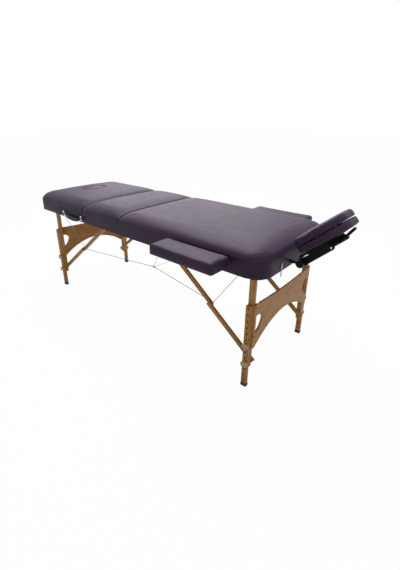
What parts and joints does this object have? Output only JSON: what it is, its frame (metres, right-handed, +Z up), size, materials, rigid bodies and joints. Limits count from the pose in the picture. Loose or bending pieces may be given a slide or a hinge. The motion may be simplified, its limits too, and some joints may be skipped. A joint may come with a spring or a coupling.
{
  "type": "folding massage table",
  "caption": "Portable folding massage table: padded top in hinged sections on wooden folding legs with arched end panels, cable bracing, a tilting headrest and side armrests",
  "frame": {"origin": "middle of the whole part's plan, on the floor", "axes": "+X along the table towards the headrest, +Z up, near side with the carry handle at -Y"},
  "size_m": [2.0816, 0.956, 0.8576],
  "materials": {
    "plum_leather": "soft grained synthetic leather, satin",
    "beech": "clear-lacquered beech",
    "plywood": "bare sanded plywood",
    "black_rubber": "matt black rubber",
    "olive_plastic": "moulded beige plastic",
    "chrome_fittings": "bright plated steel",
    "black_metal": "black powder coat",
    "hook_strip": "black hook-and-loop tape",
    "black_plastic": "black padded grip on a black wire",
    "steel": "plain zinc-plated steel"
  },
  "bodies": {
    "half_a": {"a_side_rails": "beech", "a_end_rail": "beech", "a_fold_rail": "beech", "a_bearers": "beech", "middle_deck": "plywood", "middle_cushion": "plum_leather", "a_frame_wrap": "plum_leather", "a_fittings": "chrome_fittings", "fold_hinge_a_leaves": "steel", "back_seam_welt": "plum_leather", "brace_cables": "steel"},
    "half_b": {"b_side_rails": "beech", "b_end_rail": "beech", "b_fold_rail": "beech", "b_bearers": "beech", "main_deck": "plywood", "main_cushion": "plum_leather", "b_frame_wrap": "plum_leather", "b_fittings": "chrome_fittings", "fold_hinge_b_leaves": "steel"},
    "back": {"back_deck": "plywood", "back_cushion": "plum_leather"},
    "prop": {"back_prop": "steel"},
    "plug": {"face_plug": "plum_leather"},
    "headrest_mount": {"headrest_rods": "steel", "headrest_yoke": "black_metal"},
    "headrest": {"headrest_tilt_frame": "black_metal", "headrest_base_pad": "plum_leather", "headrest_face_pad": "plum_leather", "headrest_hook_strips": "hook_strip"},
    "tilt_lever": {"headrest_lever": "black_metal"},
    "near_armrest": {"near_armrest_pad": "plum_leather", "near_armrest_base": "plywood"},
    "far_armrest": {"far_armrest_pad": "plum_leather", "far_armrest_base": "plywood"},
    "latch_near": {"near_latch": "chrome_fittings"},
    "latch_far": {"far_latch": "chrome_fittings"},
    "handle": {"carry_handle": "black_plastic"},
    "legs_a": {"a_legs": "beech", "a_end_panel": "beech", "a_clamp_knobs": "olive_plastic"},
    "upper_struts_a": {"a_near_upper_strut": "beech", "a_far_upper_strut": "beech"},
    "lower_struts_a": {"a_near_lower_strut": "beech", "a_far_lower_strut": "beech"},
    "near_extension_a": {"a_near_extension": "beech", "a_near_foot": "black_rubber"},
    "far_extension_a": {"a_far_extension": "beech", "a_far_foot": "black_rubber"},
    "legs_b": {"b_legs": "beech", "b_end_panel": "beech", "b_clamp_knobs": "olive_plastic"},
    "upper_struts_b": {"b_near_upper_strut": "beech", "b_far_upper_strut": "beech"},
    "lower_struts_b": {"b_near_lower_strut": "beech", "b_far_lower_strut": "beech"},
    "near_extension_b": {"b_near_extension": "beech", "b_near_foot": "black_rubber"},
    "far_extension_b": {"b_far_extension": "beech", "b_far_foot": "black_rubber"}
  },
  "joints": [
    {"name": "center_fold", "type": "hinge", "parent": "half_a", "child": "half_b", "pos_m": [-0.11077, 0, 0.589], "axis": [0, 1, 0], "range_deg": [0, 90], "deforming": ["brace_cables"]},
    {"name": "leg_fold_a", "type": "hinge", "parent": "half_a", "child": "legs_a", "pos_m": [-0.89777, 0, 0.617], "axis": [0, -1, 0], "range_deg": [0, 90], "deforming": ["brace_cables"]},
    {"name": "upper_strut_swing_a", "type": "hinge", "parent": "half_a", "child": "upper_struts_a", "pos_m": [-0.29477, 0, 0.617], "axis": [0, 1, 0], "range_deg": [0, 38]},
    {"name": "lower_strut_swing_a", "type": "hinge", "parent": "legs_a", "child": "lower_struts_a", "pos_m": [-0.89777, 0, 0.15], "axis": [0, -1, 0], "range_deg": [0, 53]},
    {"name": "near_height_a", "type": "slide", "parent": "legs_a", "child": "near_extension_a", "axis": [0, 0, -1], "range_m": [-0.066, 0.132]},
    {"name": "far_height_a", "type": "slide", "parent": "legs_a", "child": "far_extension_a", "axis": [0, 0, -1], "range_m": [-0.066, 0.132]},
    {"name": "leg_fold_b", "type": "hinge", "parent": "half_b", "child": "legs_b", "pos_m": [0.74523, 0, 0.617], "axis": [0, 1, 0], "range_deg": [0, 90], "deforming": ["brace_cables"]},
    {"name": "upper_strut_swing_b", "type": "hinge", "parent": "half_b", "child": "upper_struts_b", "pos_m": [0.14223, 0, 0.617], "axis": [0, -1, 0], "range_deg": [0, 38]},
    {"name": "lower_strut_swing_b", "type": "hinge", "parent": "legs_b", "child": "lower_struts_b", "pos_m": [0.74523, 0, 0.15], "axis": [0, 1, 0], "range_deg": [0, 53]},
    {"name": "near_height_b", "type": "slide", "parent": "legs_b", "child": "near_extension_b", "axis": [0, 0, -1], "range_m": [-0.066, 0.132]},
    {"name": "far_height_b", "type": "slide", "parent": "legs_b", "child": "far_extension_b", "axis": [0, 0, -1], "range_m": [-0.066, 0.132]},
    {"name": "back_lift", "type": "hinge", "parent": "half_a", "child": "back", "pos_m": [-0.46577, 0, 0.697], "axis": [0, 1, 0], "range_deg": [0, 60]},
    {"name": "prop_swing", "type": "hinge", "parent": "back", "child": "prop", "pos_m": [-0.75077, 0, 0.6447], "axis": [0, -1, 0], "range_deg": [0, 80]},
    {"name": "plug_lift", "type": "slide", "parent": "back", "child": "plug", "axis": [0, 0, 1], "range_m": [0, 0.09]},
    {"name": "headrest_reach", "type": "slide", "parent": "half_b", "child": "headrest_mount", "axis": [1, 0, 0], "range_m": [0, 0.055]},
    {"name": "headrest_tilt", "type": "hinge", "parent": "headrest_mount", "child": "headrest", "pos_m": [0.86923, 0, 0.621], "axis": [0, 1, 0], "range_deg": [0, 60]},
    {"name": "tilt_lever_swing", "type": "hinge", "parent": "headrest", "child": "tilt_lever", "pos_m": [0.98515, 0, 0.72088], "axis": [0, 1, 0], "range_deg": [0, 60]},
    {"name": "near_armrest_pull", "type": "slide", "parent": "half_b", "child": "near_armrest", "axis": [0, -1, 0], "range_m": [0, 0.07]},
    {"name": "far_armrest_pull", "type": "slide", "parent": "half_b", "child": "far_armrest", "axis": [0, 1, 0], "range_m": [0, 0.07]},
    {"name": "latch_swing_near", "type": "hinge", "parent": "half_b", "child": "latch_near", "pos_m": [0.82103, -0.18, 0.628], "axis": [1, 0, 0], "range_deg": [-90, 90]},
    {"name": "latch_swing_far", "type": "hinge", "parent": "half_b", "child": "latch_far", "pos_m": [0.82103, 0.18, 0.628], "axis": [1, 0, 0], "range_deg": [-90, 90]},
    {"name": "handle_swing", "type": "hinge", "parent": "half_a", "child": "handle", "pos_m": [-0.56777, -0.347, 0.629], "axis": [-1, 0, 0], "range_deg": [0, 100]}
  ],
  "couplings": [
    {"joint": "upper_strut_swing_a", "follows": "leg_fold_a", "ratio": 0.41952},
    {"joint": "lower_strut_swing_a", "follows": "leg_fold_a", "ratio": 0.58049},
    {"joint": "upper_strut_swing_b", "follows": "leg_fold_b", "ratio": 0.41952},
    {"joint": "lower_strut_swing_b", "follows": "leg_fold_b", "ratio": 0.58049}
  ]
}
